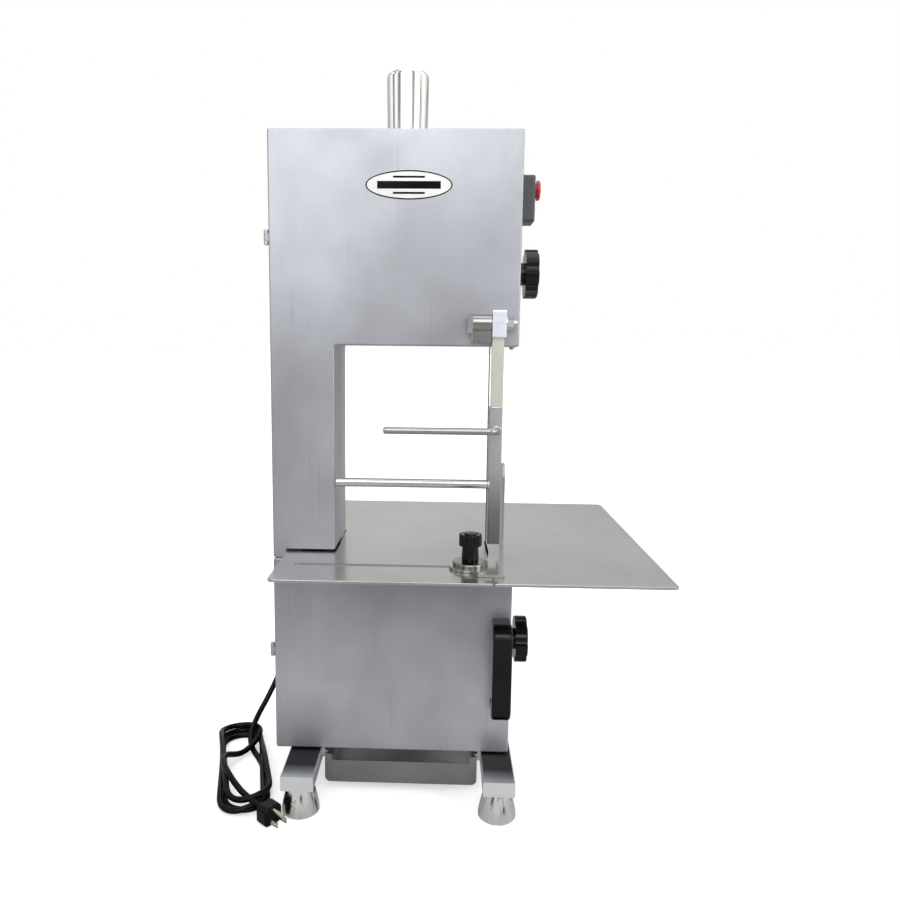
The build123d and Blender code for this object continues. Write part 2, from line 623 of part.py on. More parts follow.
# ---------------------------------------------------------------- base, tray
def foot_bar(x_range):
    bar = block(*x_range, BAR_FRONT, BAR_REAR, BAR_Z, BODY_BOTTOM)
    bar = chamfer(bar.edges().filter_by(Axis.Y), 1)
    x = sum(x_range) / 2
    for y in FOOT_Y:
        bar -= rod_z(BAR_Z - 1, BAR_Z + 12, x, y, 4.1)
    return bar


def cone_foot(x, y):
    profile = [
        (0, 0), (21, 0), (22.6, 1.6), (22.6, 4), (22.0, 9), (20.8, 15), (19.4, 21), (18.0, 27),
        (16.8, 32), (16.0, 36), (15.6, BAR_Z), (0, BAR_Z),
    ]
    return turned(profile, x, y, 0) - rod_z(14, BAR_Z + 1, x, y, 4.1)


def foot_places():
    xs = [sum(pair) / 2 for pair in (FOOT_BAR_L, FOOT_BAR_R)]
    return [(x, y) for x in xs for y in FOOT_Y]


TRAY_X0, TRAY_X1, TRAY_Y0, TRAY_Y1 = -162.8, 27.8, -92.0, 92.0
TRAY_Z0, TRAY_Z1, TRAY_T = 13.0, 50.0, 1.2


def waste_tray():
    """Folded tray: low front wall between two higher side flanges."""
    body = block(TRAY_X0, TRAY_X1, TRAY_Y0, TRAY_Y1, TRAY_Z0, TRAY_Z1)
    body = fillet(body.edges().filter_by(Axis.Y).group_by(Axis.Z)[0], 7)
    hollow = block(TRAY_X0 + TRAY_T, TRAY_X1 - TRAY_T, TRAY_Y0 + TRAY_T, TRAY_Y1 - TRAY_T,
                   TRAY_Z0 + TRAY_T, TRAY_Z1 + 1)
    hollow = fillet(hollow.edges().filter_by(Axis.Y).group_by(Axis.Z)[0], 6)
    lowered = block(TRAY_X0 + 9, TRAY_X1 - 9, TRAY_Y0 - 1, TRAY_Y0 + 5, TRAY_Z1 - 8, TRAY_Z1 + 1)
    return body - hollow - lowered


def tray_rails():
    """Angle strips on the foot bars that the tray's side flanges hang over."""
    rails = []
    for x0, x1, lip0, lip1 in (
        (FOOT_BAR_L[1], TRAY_X0 - 0.5, TRAY_X0 - 0.5, TRAY_X0 + 3),
        (TRAY_X1 + 0.5, FOOT_BAR_R[0], TRAY_X1 - 3, TRAY_X1 + 0.5),
    ):
        rail = block(x0, x1, -88, 92, 44, BODY_BOTTOM - 1)
        rails.append(rail + block(lip0, lip1, -88, 92, TRAY_Z1 + 0.5, TRAY_Z1 + 2.5))
    return rails


# ---------------------------------------------------------------- switch
SWITCH_Y, STOP_Z, START_Z = -10.0, 749.0, 724.0


def switch_box():
    box = block(BODY_R, BODY_R + 21, SWITCH_Y - 18, SWITCH_Y + 18, 709, 765)
    box = fillet(box.edges().filter_by(Axis.X), 4)
    box = fillet(box.faces().sort_by(Axis.X)[-1].edges(), 2.5)
    for z in (STOP_Z, START_Z):
        box -= rod_x(BODY_R + 13, BODY_R + 30, SWITCH_Y, z, 9.05)
    return box


def stop_button():
    stem = rod_x(BODY_R + 16.5, BODY_R + 23, SWITCH_Y, STOP_Z, 9)
    head = turned([(0, 0), (12, 0), (12, 2.4), (10.4, 4), (0, 4.6)], BODY_R + 24, SWITCH_Y, STOP_Z, "x")
    return stem + rod_x(BODY_R + 22, BODY_R + 24, SWITCH_Y, STOP_Z, 9) + head


def start_button():
    button = rod_x(BODY_R + 16.5, BODY_R + 22, SWITCH_Y, START_Z, 9)
    return fillet(button.faces().sort_by(Axis.X)[-1].edges(), 1)


# ---------------------------------------------------------------- power cord
CORD_R = 3.8
RELIEF_END = TERMINAL_X0 - 44.0
CORD_ROUTE = [
    (RELIEF_END, 85, 112), (-222, 85, 112), (-241, 83, 101), (-254, 77, 82), (-263, 69, 61),
    (-272, 58, 43), (-280, 44, 29), (-284, 27, 19), (-283, 8, 12),
]
HANK_CENTRE, HANK_ANGLE = (-276.5, -52.0), 15.5
HANK_L, HANK_W, HANK_H = 208.0, 58.0, 27.0
TAIL_ROUTE = [(-270, -112, 14), (-256, -127.5, 13), (-234, -146, 11.7)]
PLUG_START, PLUG_END = (-234.0, -146.0), (-213.0, -164.0)
PLUG_Z = 11.7


def arc_radii(route):
    """Radius of each bend: 0.45 of the shorter run over the tangent of half the turn."""
    radii = []
    for a, b, c in zip(route, route[1:], route[2:]):
        run_in, run_out = Vector(*b) - Vector(*a), Vector(*c) - Vector(*b)
        half_turn = math.radians(run_in.get_angle(run_out) / 2)
        radii.append(0.45 * min(run_in.length, run_out.length) / math.tan(half_turn))
    return radii


def cord_tube(route):
    radii = arc_radii(route)
    path = FilletPolyline(*route, radius=radii)
    print("cord radii", [round(r, 1) for r in radii], "length", round(path.length, 1))
    start = Plane(origin=route[0], z_dir=Vector(*route[1]) - Vector(*route[0]))
    tube = sweep(start * Circle(CORD_R), path=path)
    print("volume", round(tube.volume, 1), "section x length", round(math.pi * CORD_R**2 * path.length, 1))
    return tube


def cord_gland():
    gland = hex_x(TERMINAL_X0 - 6, TERMINAL_X0, TERMINAL_Y, TERMINAL_Z, 24)
    gland += rod_x(TERMINAL_X0 - 14, TERMINAL_X0 - 6, TERMINAL_Y, TERMINAL_Z, 10)
    return gland


def strain_relief():
    profile = [(0, 0), (7.2, 0), (7.0, 8), (5.2, 29), (4.9, 30), (0, 30)]
    return turned(profile, TERMINAL_X0 - 14, TERMINAL_Y, TERMINAL_Z, "x").rotate(
        Axis((TERMINAL_X0 - 14, TERMINAL_Y, TERMINAL_Z), (0, 0, 1)), 180)


def cord_hank():
    """Outer shape of the folded hank lying on the floor."""
    body = Box(HANK_W, HANK_L, HANK_H)
    body = fillet(body.edges().filter_by(Axis.Z), 26)
    body = fillet(body.faces().sort_by(Axis.Z)[-1].edges(), 10)
    return Pos(*HANK_CENTRE, HANK_H / 2) * Rot(0, 0, HANK_ANGLE) * body


def plug_frame():
    dx, dy = PLUG_END[0] - PLUG_START[0], PLUG_END[1] - PLUG_START[1]
    return Plane(origin=(*PLUG_START, PLUG_Z), x_dir=(-dy, dx, 0), z_dir=(dx, dy, 0))


def plug_body():
    """Moulded grounded plug: tapered grip into a rounded block."""
    grip = loft([Circle(5), Pos(0, 0, 12) * RectangleRounded(22, 19, 5)])
    head = Pos(0, 0, 12) * extrude(RectangleRounded(25, 23, 6), 15.6)
    head = fillet(head.faces().sort_by(Axis.Z)[-1].edges(), 1.5)
    return plug_frame() * (grip + head)


def plug_pins():
    """Two flat blades and one round ground pin."""
    z = 27.6
    hole = Pos(0, -2.5, z + 12.2) * Rot(0, 90, 0) * Cylinder(1.6, 30)
    blades = [Pos(side * 6.35, -2.5, z + 8) * Box(1.5, 6.3, 16) - hole for side in (-1, 1)]
    ground = Pos(0, 7, z + 9.5) * Cylinder(2.4, 19)
    return [plug_frame() * piece for piece in (*blades, ground)]


# ---------------------------------------------------------------- write the parts
UPPER_HINGE, LOWER_HINGE = (681.5, 16.0), (185.0, 16.0)
HINGES = (UPPER_HINGE, LOWER_HINGE)
LATCHES = {"upper": UPPER_LATCH_Z, "lower": LOWER_LATCH_Z}

save("frame_shell", frame_shell() + column_stiffener())
save("guide_rails", *guide_rails(), *guide_keepers())
save("tension_carriage", carriage())
save("upper_axle", upper_axle() + axle_cap())
save("tension_screw", tension_screw() + screw_collar())
save("screw_bush", screw_bush())
save("tension_knob", tension_knob())
save("upper_wheel", wheel(UPPER_Z, 20))
save("upper_bearings", *upper_bearings())
save("lower_wheel", wheel(LOWER_Z, SHAFT_R))
save("motor_shaft", motor_shaft() + shaft_cap())
save("bearing_housing", bearing_housing())
save("motor_body", motor_body())
save("motor_fan", motor_fan())
save("fan_cover", fan_cover())
save("terminal_box", terminal_box())
save("frame_bolts", *motor_bolts(), *table_bolts())

save("saw_blade", saw_blade())
save("upper_blade_guide", blade_guide(THROAT_TOP + 4, THROAT_TOP + 26))
save("lower_blade_guide", blade_guide(LOWER_TOP - 28, LOWER_TOP - 7))
save("wheel_scrapers", wheel_scraper(UPPER_Z, 232, TENSION_TRAVEL + 0.8), wheel_scraper(LOWER_Z, 128, 0.8))

upper_door = door(UPPER_DOOR, UPPER_LATCH_Z, THROAT_TOP, TABLE_TOP + 1.5) + door_brace(-205, 45, 700)
save("upper_door", upper_door + column_tongue() + hinge_eye(*UPPER_HINGE) + rim_rivet())
lower_door = door(LOWER_DOOR, LOWER_LATCH_Z, LOWER_TOP, LOWER_TOP) + door_brace(-205, 30, 250)
save("lower_door", lower_door + hinge_eye(*LOWER_HINGE))
save("hinge_straps", *[hinge_strap(*hinge) for hinge in HINGES])
save("hinge_pins", *[hinge_pin(*hinge) for hinge in HINGES])
save("latch_catches", *[latch_catch(z) for z in LATCHES.values()])
for label, latch_z in LATCHES.items():
    save(f"{label}_latch_knob", latch_knob(latch_z))
    save(f"{label}_latch_stud", latch_stud(latch_z))
save("door_handle", door_handle())
save("handle_screws", *handle_screws())
save("oval_label", oval_label())

save("pivot_boss", pivot_boss())
save("pivot_bolt", pivot_bolt())
save("pivot_nut", pivot_nut())
save("arm_knuckle", arm_knuckle())
save("arm_bar", arm_bar())
save("arm_channel", arm_channel())
save("handle_rod", handle_rod())
save("pusher_rod", pusher_rod())

save("table_plate", table_plate())
save("table_rails", *table_rails())
save("gauge_fence", gauge_fence())
save("gauge_disc", gauge_disc())
save("gauge_knob", gauge_knob())
save("gauge_stud", gauge_stud())

save("foot_bars", foot_bar(FOOT_BAR_L), foot_bar(FOOT_BAR_R))
save("cone_feet", *[cone_foot(*place) for place in foot_places()])
save("waste_tray", waste_tray())
save("tray_rails", *tray_rails())
save("switch_box", switch_box())
save("stop_button", stop_button())
save("start_button", start_button())

save("cord_gland", cord_gland())
save("strain_relief", strain_relief())
save("cord_tube", cord_tube(CORD_ROUTE), cord_tube(TAIL_ROUTE))
save("cord_hank", cord_hank())
save("plug_body", plug_body())
save("plug_pins", *plug_pins())
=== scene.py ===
import json
import math

import bpy
from mathutils import Matrix, Vector

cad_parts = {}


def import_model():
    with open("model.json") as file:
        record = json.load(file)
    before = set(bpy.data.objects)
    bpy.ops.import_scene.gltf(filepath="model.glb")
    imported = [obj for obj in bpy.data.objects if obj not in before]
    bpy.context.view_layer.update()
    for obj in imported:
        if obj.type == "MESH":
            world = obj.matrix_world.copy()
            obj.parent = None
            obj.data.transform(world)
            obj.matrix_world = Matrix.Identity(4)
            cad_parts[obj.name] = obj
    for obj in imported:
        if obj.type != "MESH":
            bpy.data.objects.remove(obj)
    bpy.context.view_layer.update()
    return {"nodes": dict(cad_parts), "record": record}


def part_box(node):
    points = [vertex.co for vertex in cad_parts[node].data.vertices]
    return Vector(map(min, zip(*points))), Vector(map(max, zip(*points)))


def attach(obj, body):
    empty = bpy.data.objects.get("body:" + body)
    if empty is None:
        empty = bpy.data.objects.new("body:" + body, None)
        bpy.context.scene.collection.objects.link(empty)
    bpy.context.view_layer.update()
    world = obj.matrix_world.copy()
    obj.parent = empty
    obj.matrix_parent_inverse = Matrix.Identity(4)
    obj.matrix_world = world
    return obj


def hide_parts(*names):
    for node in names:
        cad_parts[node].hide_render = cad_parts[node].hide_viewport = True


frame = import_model()


def in_scene(name, data):
    """A new object that holds the data, linked into the scene."""
    made = bpy.data.objects.new(name, data)
    bpy.context.scene.collection.objects.link(made)
    return made


# ---------------------------------------------------------------- camera
CAMERA_PLACE = Vector((-0.02397, -0.99548, 0.56648))
YAW, PITCH, ROLL = math.radians(-1.875), math.radians(7.847), math.radians(0.56)
SENSOR, LENS = 36.0, 30.858          # in millimetres
SHIFT = (0.0391, -0.0045)
NEAREST, FURTHEST = 0.01, 100        # the camera sees from here to here, in metres


def camera():
    """A camera just above the middle of the machine, about a metre in front of it."""
    flat = math.cos(PITCH)
    forward = Vector((math.sin(YAW) * flat, math.cos(YAW) * flat, -math.sin(PITCH)))
    level = Vector((math.cos(YAW), -math.sin(YAW), 0))
    upright = level.cross(forward)
    right = math.cos(ROLL) * level + math.sin(ROLL) * upright
    up = -math.sin(ROLL) * level + math.cos(ROLL) * upright
    data = bpy.data.cameras.new("camera")
    data.sensor_width, data.lens = SENSOR, LENS
    data.shift_x, data.shift_y = SHIFT
    data.clip_start, data.clip_end = NEAREST, FURTHEST
    eye = in_scene("camera", data)
    place = Matrix((right, up, -forward)).transposed().to_4x4()
    place.translation = CAMERA_PLACE
    eye.matrix_world = place
    bpy.context.scene.camera = eye


camera()

# ---------------------------------------------------------------- cord
CORD_D = 0.0076
CORD_R = CORD_D / 2
# Out of the strain relief behind the body, down its left side and on to the floor.
DROP = [
    (-0.184, 0.085, 0.112), (-0.198, 0.085, 0.112), (-0.222, 0.085, 0.112), (-0.241, 0.083, 0.101),
    (-0.254, 0.077, 0.082), (-0.263, 0.069, 0.061), (-0.272, 0.058, 0.043), (-0.280, 0.044, 0.029),
    (-0.284, 0.027, 0.018), (-0.283, 0.008, 0.0105),
]
# From the hank's last strand to the plug.
TAIL = [(-0.270, -0.112, 0.014), (-0.256, -0.1275, 0.013), (-0.234, -0.146, 0.0117)]
HANK_CENTRE, HANK_ANGLE = Vector((-0.2765, -0.052, 0)), math.radians(15.5)
HANK_TOP = 0.0232                    # no strand's middle lies higher than this
# The hank's own points are given across it and along it, from its middle. These lead from the drop
# into the first turn.
FIRST_RUN = [(0.0130, 0.0440), (0.0170, 0.0310), (0.0205, 0.0180), (0.0235, 0.0050), (0.0255, -0.0080)]
# The hank's turns: the middle of the loop, half its width, its far and near ends, and how far it
# leans over.
TURNS = [
    (0.0000, 0.0260, 0.097, -0.094, -0.020),
    (-0.0020, 0.0262, 0.087, -0.100, 0.030),
    (0.0010, 0.0262, 0.103, -0.088, -0.050),
]
TURN_POINTS = 40
FIRST_POINT = 9                      # the first turn's own points begin here, down its right side
# The last strand, which crosses over the hank from its far right to its left side.
CROSSING = [
    (0.0240, 0.0765), (0.0240, 0.0650), (0.0205, 0.0545), (0.0135, 0.0460), (0.0050, 0.0388),
    (-0.0040, 0.0320), (-0.0130, 0.0250), (-0.0200, 0.0162), (-0.0245, 0.0060), (-0.0260, -0.0055),
    (-0.0252, -0.0170), (-0.0228, -0.0285), (-0.0192, -0.0395), (-0.0148, -0.0500),
]
TOUCHING = CORD_D * 1.2              # strands nearer than this in plan lie on one another
SETTLED = 0.85                       # how much of its full height a strand keeps over another one
SAME_STRAND = 4                      # a point doesn't lie on the few points just before it
SMOOTHINGS = 3


def hank_point(u, v):
    """A point on the floor given across and along the hank, in the frame's axes."""
    c, s = math.cos(HANK_ANGLE), math.sin(HANK_ANGLE)
    return Vector((HANK_CENTRE.x + u * c - v * s, HANK_CENTRE.y + u * s + v * c, CORD_R))


def loop_point(turn, share):
    """A point of a long loop with round ends, a share of the way round from its far right shoulder:
    down the right side, round the near end, up the left side and round the far end."""
    middle, half, far, near, lean = turn
    run, bow = far - near - 2 * half, math.pi * half
    walk = share * 2 * (run + bow)
    if walk < run:
        u, v = half, far - half - walk
    elif walk < run + bow:
        angle = (walk - run) / half
        u, v = half * math.cos(angle), near + half - half * math.sin(angle)
    elif walk < 2 * run + bow:
        u, v = -half, near + half + walk - run - bow
    else:
        angle = (walk - 2 * run - bow) / half
        u, v = -half * math.cos(angle), far - half + half * math.sin(angle)
    return middle + u + lean * v, v


def hank_turns():
    """The hank's turns in plan, evenly spaced; each changes into the next along its left side."""
    points = []
    for k, turn in enumerate(TURNS):
        after = TURNS[min(k + 1, len(TURNS) - 1)]
        first = 0 if k else FIRST_POINT
        for i in range(first, TURN_POINTS):
            share = i / TURN_POINTS
            blend = max(0.0, min(1.0, (share - 0.5) / 0.5))
            blend = blend * blend * (3 - 2 * blend)
            shape = [p + (q - p) * blend for p, q in zip(turn, after)]
            points.append(loop_point(shape, share))
    return points


def closest_on(a, b, p):
    """The share of the way from a to b that is nearest to p, in plan, and how far it is."""
    line = (b - a).to_2d()
    share = max(0.0, min(1.0, (p - a).to_2d().dot(line) / max(line.length_squared, 1e-12)))
    return share, ((a + (b - a) * share) - p).to_2d().length


def laid(points):
    """Each point rests on the floor, or on what already lies under it."""
    down = []
    for k, (u, v) in enumerate(points):
        here = hank_point(u, v)
        for a, b in zip(down[: max(0, k - SAME_STRAND)], down[1:]):
            share, apart = closest_on(a, b, here)
            if apart < TOUCHING:
                rise = math.sqrt(TOUCHING**2 - apart**2) * SETTLED
                here.z = max(here.z, a.z + (b.z - a.z) * share + rise)
        here.z = min(here.z, HANK_TOP)
        down.append(here)
    return down


def eased(points):
    """Heights smoothed along the cord, so that it goes over a crossing in a long low hump."""
    for _ in range(SMOOTHINGS):
        heights = [p.z for p in points]
        for i in range(1, len(points) - 1):
            points[i].z = max(CORD_R, 0.25 * heights[i - 1] + 0.5 * heights[i] + 0.25 * heights[i + 1])
    return points


def cord_line():
    """The cord's centre line: the drop, the hank's turns, the strand over the hank, and the tail."""
    lying = laid(FIRST_RUN + hank_turns() + CROSSING) + [Vector(p) for p in TAIL]
    return [Vector(p) for p in DROP] + eased(lying)


def cord():
    """The whole cord as one curve, from the strain relief to the plug."""
    curve = bpy.data.curves.new("power_cord", "CURVE")
    curve.dimensions = "3D"
    line = cord_line()
    spline = curve.splines.new("NURBS")
    spline.points.add(len(line) - 1)
    for point, place in zip(spline.points, line):
        point.co = (*place, 1)
        point.radius = CORD_R
    spline.order_u = 3
    spline.use_endpoint_u = True
    spline.resolution_u = 6
    curve.bevel_depth = 1.0          # the points' radius is the cord's own
    curve.bevel_resolution = 4
    curve.use_fill_caps = True
    piece = in_scene("power_cord", curve)
    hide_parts("cord_tube", "cord_hank")
    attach(piece, "root")
    return piece


CORD = cord()


# ---------------------------------------------------------------- shared nodes
FIRST, SECOND, MIXED = 6, 7, 2       # a Mix node's colour sockets, whose names its others share


def grey(level, tint=(1.0, 1.0, 1.0)):
    return tuple(level * t for t in tint)


def greys(pairs):
    """Ramp stops from pairs of a place and a brightness."""
    return [(at, grey(level)) for at, level in pairs]


def ramp_node(tree, value, stops):
    """The colour for a value from 0 to 1, blended between stops of a value and its colour."""
    node = tree.nodes.new("ShaderNodeValToRGB")
    ends = node.color_ramp.elements
    while len(ends) < len(stops):
        ends.new(0.5)
    for end, (at, colour) in zip(ends, stops):
        end.position = at
        end.color = (*colour, 1)
    tree.links.new(value, node.inputs[0])
    return node.outputs[0]


def mix_node(tree, first, second, blend, factor=None):
    """Two colours put together, in full or as far as a factor says."""
    node = tree.nodes.new("ShaderNodeMix")
    node.data_type, node.blend_type = "RGBA", blend
    if factor is None:
        node.inputs["Factor"].default_value = 1.0
    else:
        tree.links.new(factor, node.inputs["Factor"])
    tree.links.new(first, node.inputs[FIRST])
    tree.links.new(second, node.inputs[SECOND])
    return node.outputs[MIXED]


def seen_or_reflected(tree, seen, reflected):
    """One shader for what the camera sees, and another for light and reflections."""
    path = tree.nodes.new("ShaderNodeLightPath")
    mix = tree.nodes.new("ShaderNodeMixShader")
    tree.links.new(path.outputs["Is Camera Ray"], mix.inputs[0])
    tree.links.new(reflected, mix.inputs[1])
    tree.links.new(seen, mix.inputs[2])
    return mix.outputs[0]


# ---------------------------------------------------------------- light and floor
# Brightness of the studio that metal reflects. By height, 0 is straight down, 0.5 level and 1
# straight up. Round the compass, the pale bands stand for tall softboxes with dark gaps between.
STUDIO_HEIGHTS = ((0.30, 0.40), (0.50, 0.70), (0.62, 0.85), (0.80, 0.9), (1.0, 0.8))
STUDIO_BANDS = (
    (0.02, 0.25), (0.07, 1.5), (0.12, 0.2), (0.17, 1.7), (0.22, 1.6), (0.245, 0.12), (0.27, 1.7),
    (0.31, 1.5), (0.34, 0.25), (0.40, 1.4), (0.44, 0.6), (0.52, 1.5), (0.62, 0.6), (0.78, 1.0),
    (0.90, 0.5), (0.97, 1.2),
)
FLOOR_REACH = 30.0                   # metres each way
FLOOR_SEEN, FLOOR_GLOW = 0.9, 0.5    # its grey and its own light, to the camera
FLOOR_REFLECTED = 0.50               # its grey to everything else


def softbox(name, place, target, width, height, watts):
    """A rectangular lamp aimed at a point."""
    data = bpy.data.lights.new(name, "AREA")
    data.shape, data.size, data.size_y, data.energy = "RECTANGLE", width, height, watts
    lamp = in_scene(name, data)
    lamp.location = place
    lamp.rotation_mode = "QUATERNION"
    lamp.rotation_quaternion = (Vector(target) - Vector(place)).to_track_quat("-Z", "Y")


def world():
    """White to the camera; a soft studio with darker gaps to everything that reflects it."""
    made = bpy.data.worlds.new("studio")
    made.use_nodes = True
    tree = made.node_tree
    tree.nodes.clear()
    out = tree.nodes.new("ShaderNodeOutputWorld")
    white = tree.nodes.new("ShaderNodeBackground")
    studio = tree.nodes.new("ShaderNodeBackground")
    direction = tree.nodes.new("ShaderNodeTexCoord").outputs["Generated"]
    split = tree.nodes.new("ShaderNodeSeparateXYZ")
    lift = tree.nodes.new("ShaderNodeMapRange")
    compass = tree.nodes.new("ShaderNodeTexGradient")
    compass.gradient_type = "RADIAL"
    white.inputs["Color"].default_value = (1, 1, 1, 1)
    lift.inputs["From Min"].default_value = -1
    tree.links.new(direction, split.inputs[0])
    tree.links.new(direction, compass.inputs[0])
    tree.links.new(split.outputs["Z"], lift.inputs["Value"])
    heights = ramp_node(tree, lift.outputs[0], greys(STUDIO_HEIGHTS))
    bands = ramp_node(tree, compass.outputs["Fac"], greys(STUDIO_BANDS))
    tree.links.new(mix_node(tree, heights, bands, "MULTIPLY"), studio.inputs["Color"])
    tree.links.new(seen_or_reflected(tree, white.outputs[0], studio.outputs[0]), out.inputs[0])
    bpy.context.scene.world = made


def floor():
    """Pale floor: nearly white to the camera, and mid grey to the metal that reflects it."""
    mesh = bpy.data.meshes.new("floor")
    far = FLOOR_REACH
    mesh.from_pydata([(-far, -far, 0), (far, -far, 0), (far, far, 0), (-far, far, 0)], [], [(0, 1, 2, 3)])
    plane = in_scene("floor", mesh)
    made = bpy.data.materials.new("floor")
    made.use_nodes = True
    tree = made.node_tree
    shader = tree.nodes["Principled BSDF"]
    shader.inputs["Base Color"].default_value = (*grey(FLOOR_SEEN), 1)
    shader.inputs["Roughness"].default_value = 0.7
    shader.inputs["Emission Color"].default_value = (1, 1, 1, 1)
    shader.inputs["Emission Strength"].default_value = FLOOR_GLOW
    dull = tree.nodes.new("ShaderNodeBsdfDiffuse")
    dull.inputs["Color"].default_value = (*grey(FLOOR_REFLECTED), 1)
    surface = seen_or_reflected(tree, shader.outputs[0], dull.outputs[0])
    tree.links.new(surface, tree.nodes["Material Output"].inputs["Surface"])
    mesh.materials.append(made)


bpy.context.scene.view_settings.view_transform = "Standard"
world()
floor()
softbox("key", (-0.3, -2.2, 1.9), target=(0, 0, 0.6), width=1.6, height=1.4, watts=15)
softbox("fill", (1.9, -1.4, 1.2), target=(0, 0, 0.4), width=1.0, height=1.8, watts=16)
softbox("top", (0.1, 0.3, 2.6), target=(0, 0, 0.3), width=1.8, height=1.8, watts=14)


# ---------------------------------------------------------------- materials
NOISE_LOW, NOISE_HIGH = 0.3, 0.7     # noise seldom leaves this range
UP_FROM, UP_TO = 0.6, 0.9            # how steeply a normal rises on a partly and a fully upward face
# How many times a metre a texture's pattern changes, roughly.
BRUSH_SCALE, SCRATCH_SCALE, MARK_SCALE, CAST_SCALE = 1400, 260, 34, 220


class Paint:
    """A node material on the Principled shader, with short ways to the textures it needs."""

    def __init__(self, name, metallic=0.0):
        self.material = bpy.data.materials.new(name)
        self.material.use_nodes = True
        self.tree = self.material.node_tree
        self.shader = self.tree.nodes["Principled BSDF"]
        self.shader.inputs["Metallic"].default_value = metallic
        self.place = self.tree.nodes.new("ShaderNodeTexCoord").outputs["Object"]

    def link(self, source, target):
        self.tree.links.new(source, target)

    def noise(self, scale, stretch=(1, 1, 1), detail=3.0, rough=0.5, shift=0.0):
        """Noise over the object; stretch is how many times finer it is along each axis, and shift
        moves it, so that two noises differ."""
        mapping = self.tree.nodes.new("ShaderNodeMapping")
        mapping.inputs["Scale"].default_value = stretch
        mapping.inputs["Location"].default_value = (shift, shift * 0.7, shift * 1.3)
        texture = self.tree.nodes.new("ShaderNodeTexNoise")
        texture.inputs["Scale"].default_value = scale
        texture.inputs["Detail"].default_value = detail
        texture.inputs["Roughness"].default_value = rough
        self.link(self.place, mapping.inputs["Vector"])
        self.link(mapping.outputs[0], texture.inputs["Vector"])
        return texture.outputs["Fac"]

    def spread(self, value, low, high, start=NOISE_LOW, end=NOISE_HIGH):
        """A value between start and end, spread out between low and high."""
        node = self.tree.nodes.new("ShaderNodeMapRange")
        for key, number in (("From Min", start), ("From Max", end), ("To Min", low), ("To Max", high)):
            node.inputs[key].default_value = number
        self.link(value, node.inputs["Value"])
        return node.outputs[0]

    def ramp(self, value, stops):
        return ramp_node(self.tree, value, stops)

    def times(self, colour, value):
        """A colour made lighter or darker by another one, or by a number."""
        return mix_node(self.tree, colour, value, "MULTIPLY")

    def part(self, axis):
        """One coordinate of the point, in metres."""
        split = self.tree.nodes.new("ShaderNodeSeparateXYZ")
        self.link(self.place, split.inputs[0])
        return split.outputs[axis]

    def on_upward_faces(self, colour, above):
        """The colour, or the other one on faces that look up."""
        facing = self.tree.nodes.new("ShaderNodeNewGeometry")
        split = self.tree.nodes.new("ShaderNodeSeparateXYZ")
        self.link(facing.outputs["Normal"], split.inputs[0])
        upward = self.spread(split.outputs["Z"], 0, 1, UP_FROM, UP_TO)
        return mix_node(self.tree, colour, above, "MIX", upward)

    def bump(self, value, strength, distance=0.0004):
        node = self.tree.nodes.new("ShaderNodeBump")
        node.inputs["Strength"].default_value = strength
        node.inputs["Distance"].default_value = distance
        self.link(value, node.inputs["Height"])
        self.link(node.outputs[0], self.shader.inputs["Normal"])

    def colour(self, source):
        self.link(source, self.shader.inputs["Base Color"])

    def roughness(self, source):
        self.link(source, self.shader.inputs["Roughness"])


def brushed_steel(name, dark, light, tint=(0.965, 0.985, 1.07), grain=(1, 1, 0.05), clouds=6.0,
                  rough=(0.34, 0.46), painted_shade_by_height=None, lines=0.05, shade_above=None):
    """Satin stainless sheet: soft clouds, fine brush lines along one axis, and faint marks.
    fade is (height, brightness) pairs for painted shade and reflections that change with height, and
    shade_above is (depth, brightness) pairs for painted shade on its upward faces."""
    paint = Paint(name, metallic=0.9)
    cloud = paint.noise(clouds, (1, 1, 0.8), detail=3, rough=0.55)
    brush = paint.noise(BRUSH_SCALE, grain, detail=2)
    base = paint.ramp(cloud, [(0.34, grey(dark, tint)), (0.68, grey(light, tint))])
    base = paint.times(base, paint.spread(brush, 1 - lines, 1 + lines))
    # Painted shade and reflections, by height.
    if painted_shade_by_height:
        base = paint.times(base, paint.ramp(paint.part("Z"), greys(painted_shade_by_height)))
    # Painted shade on the upward faces, by depth.
    if shade_above:
        stops = [((depth + DEPTH_SPAN) / (2 * DEPTH_SPAN), level) for depth, level in shade_above]
        depth = paint.spread(paint.part("Y"), 0, 1, -DEPTH_SPAN, DEPTH_SPAN)
        base = paint.on_upward_faces(base, paint.times(base, paint.ramp(depth, greys(stops))))
    marks = paint.noise(MARK_SCALE, (1, 1, 0.3), detail=6, rough=0.7, shift=9)
    base = paint.times(base, paint.spread(marks, 0.93, 1.0, 0.30, 0.42))
    scratches = paint.noise(SCRATCH_SCALE, (1, 1, 0.02), detail=1, shift=5)
    paint.colour(paint.times(base, paint.spread(scratches, 0.90, 1.0, 0.245, 0.27)))
    paint.roughness(paint.spread(paint.noise(clouds * 2.3, detail=5, shift=3), *rough))
    paint.bump(brush, 0.05, 0.0002)
    return paint


def polished(name, level, tint=(1, 1, 1), rough=(0.05, 0.14), turning=(1, 1, 9), bump=0.02):
    """Polished metal with faint turning marks and smears."""
    paint = Paint(name, metallic=1.0)
    marks = paint.noise(60, turning, detail=3)
    tones = [(NOISE_LOW, grey(level * 0.9, tint)), (NOISE_HIGH, grey(level, tint))]
    paint.colour(paint.ramp(marks, tones))
    paint.roughness(paint.spread(paint.noise(35, detail=4, shift=2), *rough))
    paint.bump(marks, bump)
    return paint


